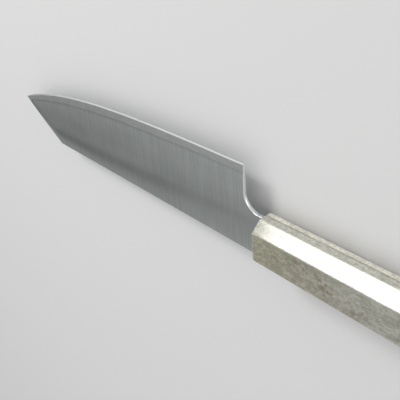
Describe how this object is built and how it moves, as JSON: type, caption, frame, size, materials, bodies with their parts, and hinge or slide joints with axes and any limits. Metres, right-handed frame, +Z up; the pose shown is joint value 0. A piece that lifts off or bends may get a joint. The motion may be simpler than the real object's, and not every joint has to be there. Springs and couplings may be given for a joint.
{
  "type": "kitchen knife",
  "caption": "Kitchen knife with a clad three-layer steel blade, straight spine, angled tip, gently curved edge and rounded choil, on a hidden tang in a tapered octagonal wooden handle.",
  "frame": {"origin": "under the middle of the knife's box, on the surface that the handle's left side lies on", "axes": "+X along the spine towards the tip, +Y across the blade towards the spine, +Z up out of the blade's right-hand face, the knife lying on its left side"},
  "size_m": [0.3304, 0.0454, 0.0182],
  "materials": {
    "core_steel": "hard steel, fine diagonal grind marks and a polished cutting bevel",
    "clad_steel": "satin, scratches running from spine to edge",
    "handle_wood": "polished laminated wood, grey-olive with brown streaks",
    "adhesive": "set adhesive, dark amber"
  },
  "bodies": {
    "root": {"core_layer": "core_steel", "right_cladding": "clad_steel", "left_cladding": "clad_steel", "handle": "handle_wood", "tang_bedding": "adhesive"}
  },
  "joints": []
}
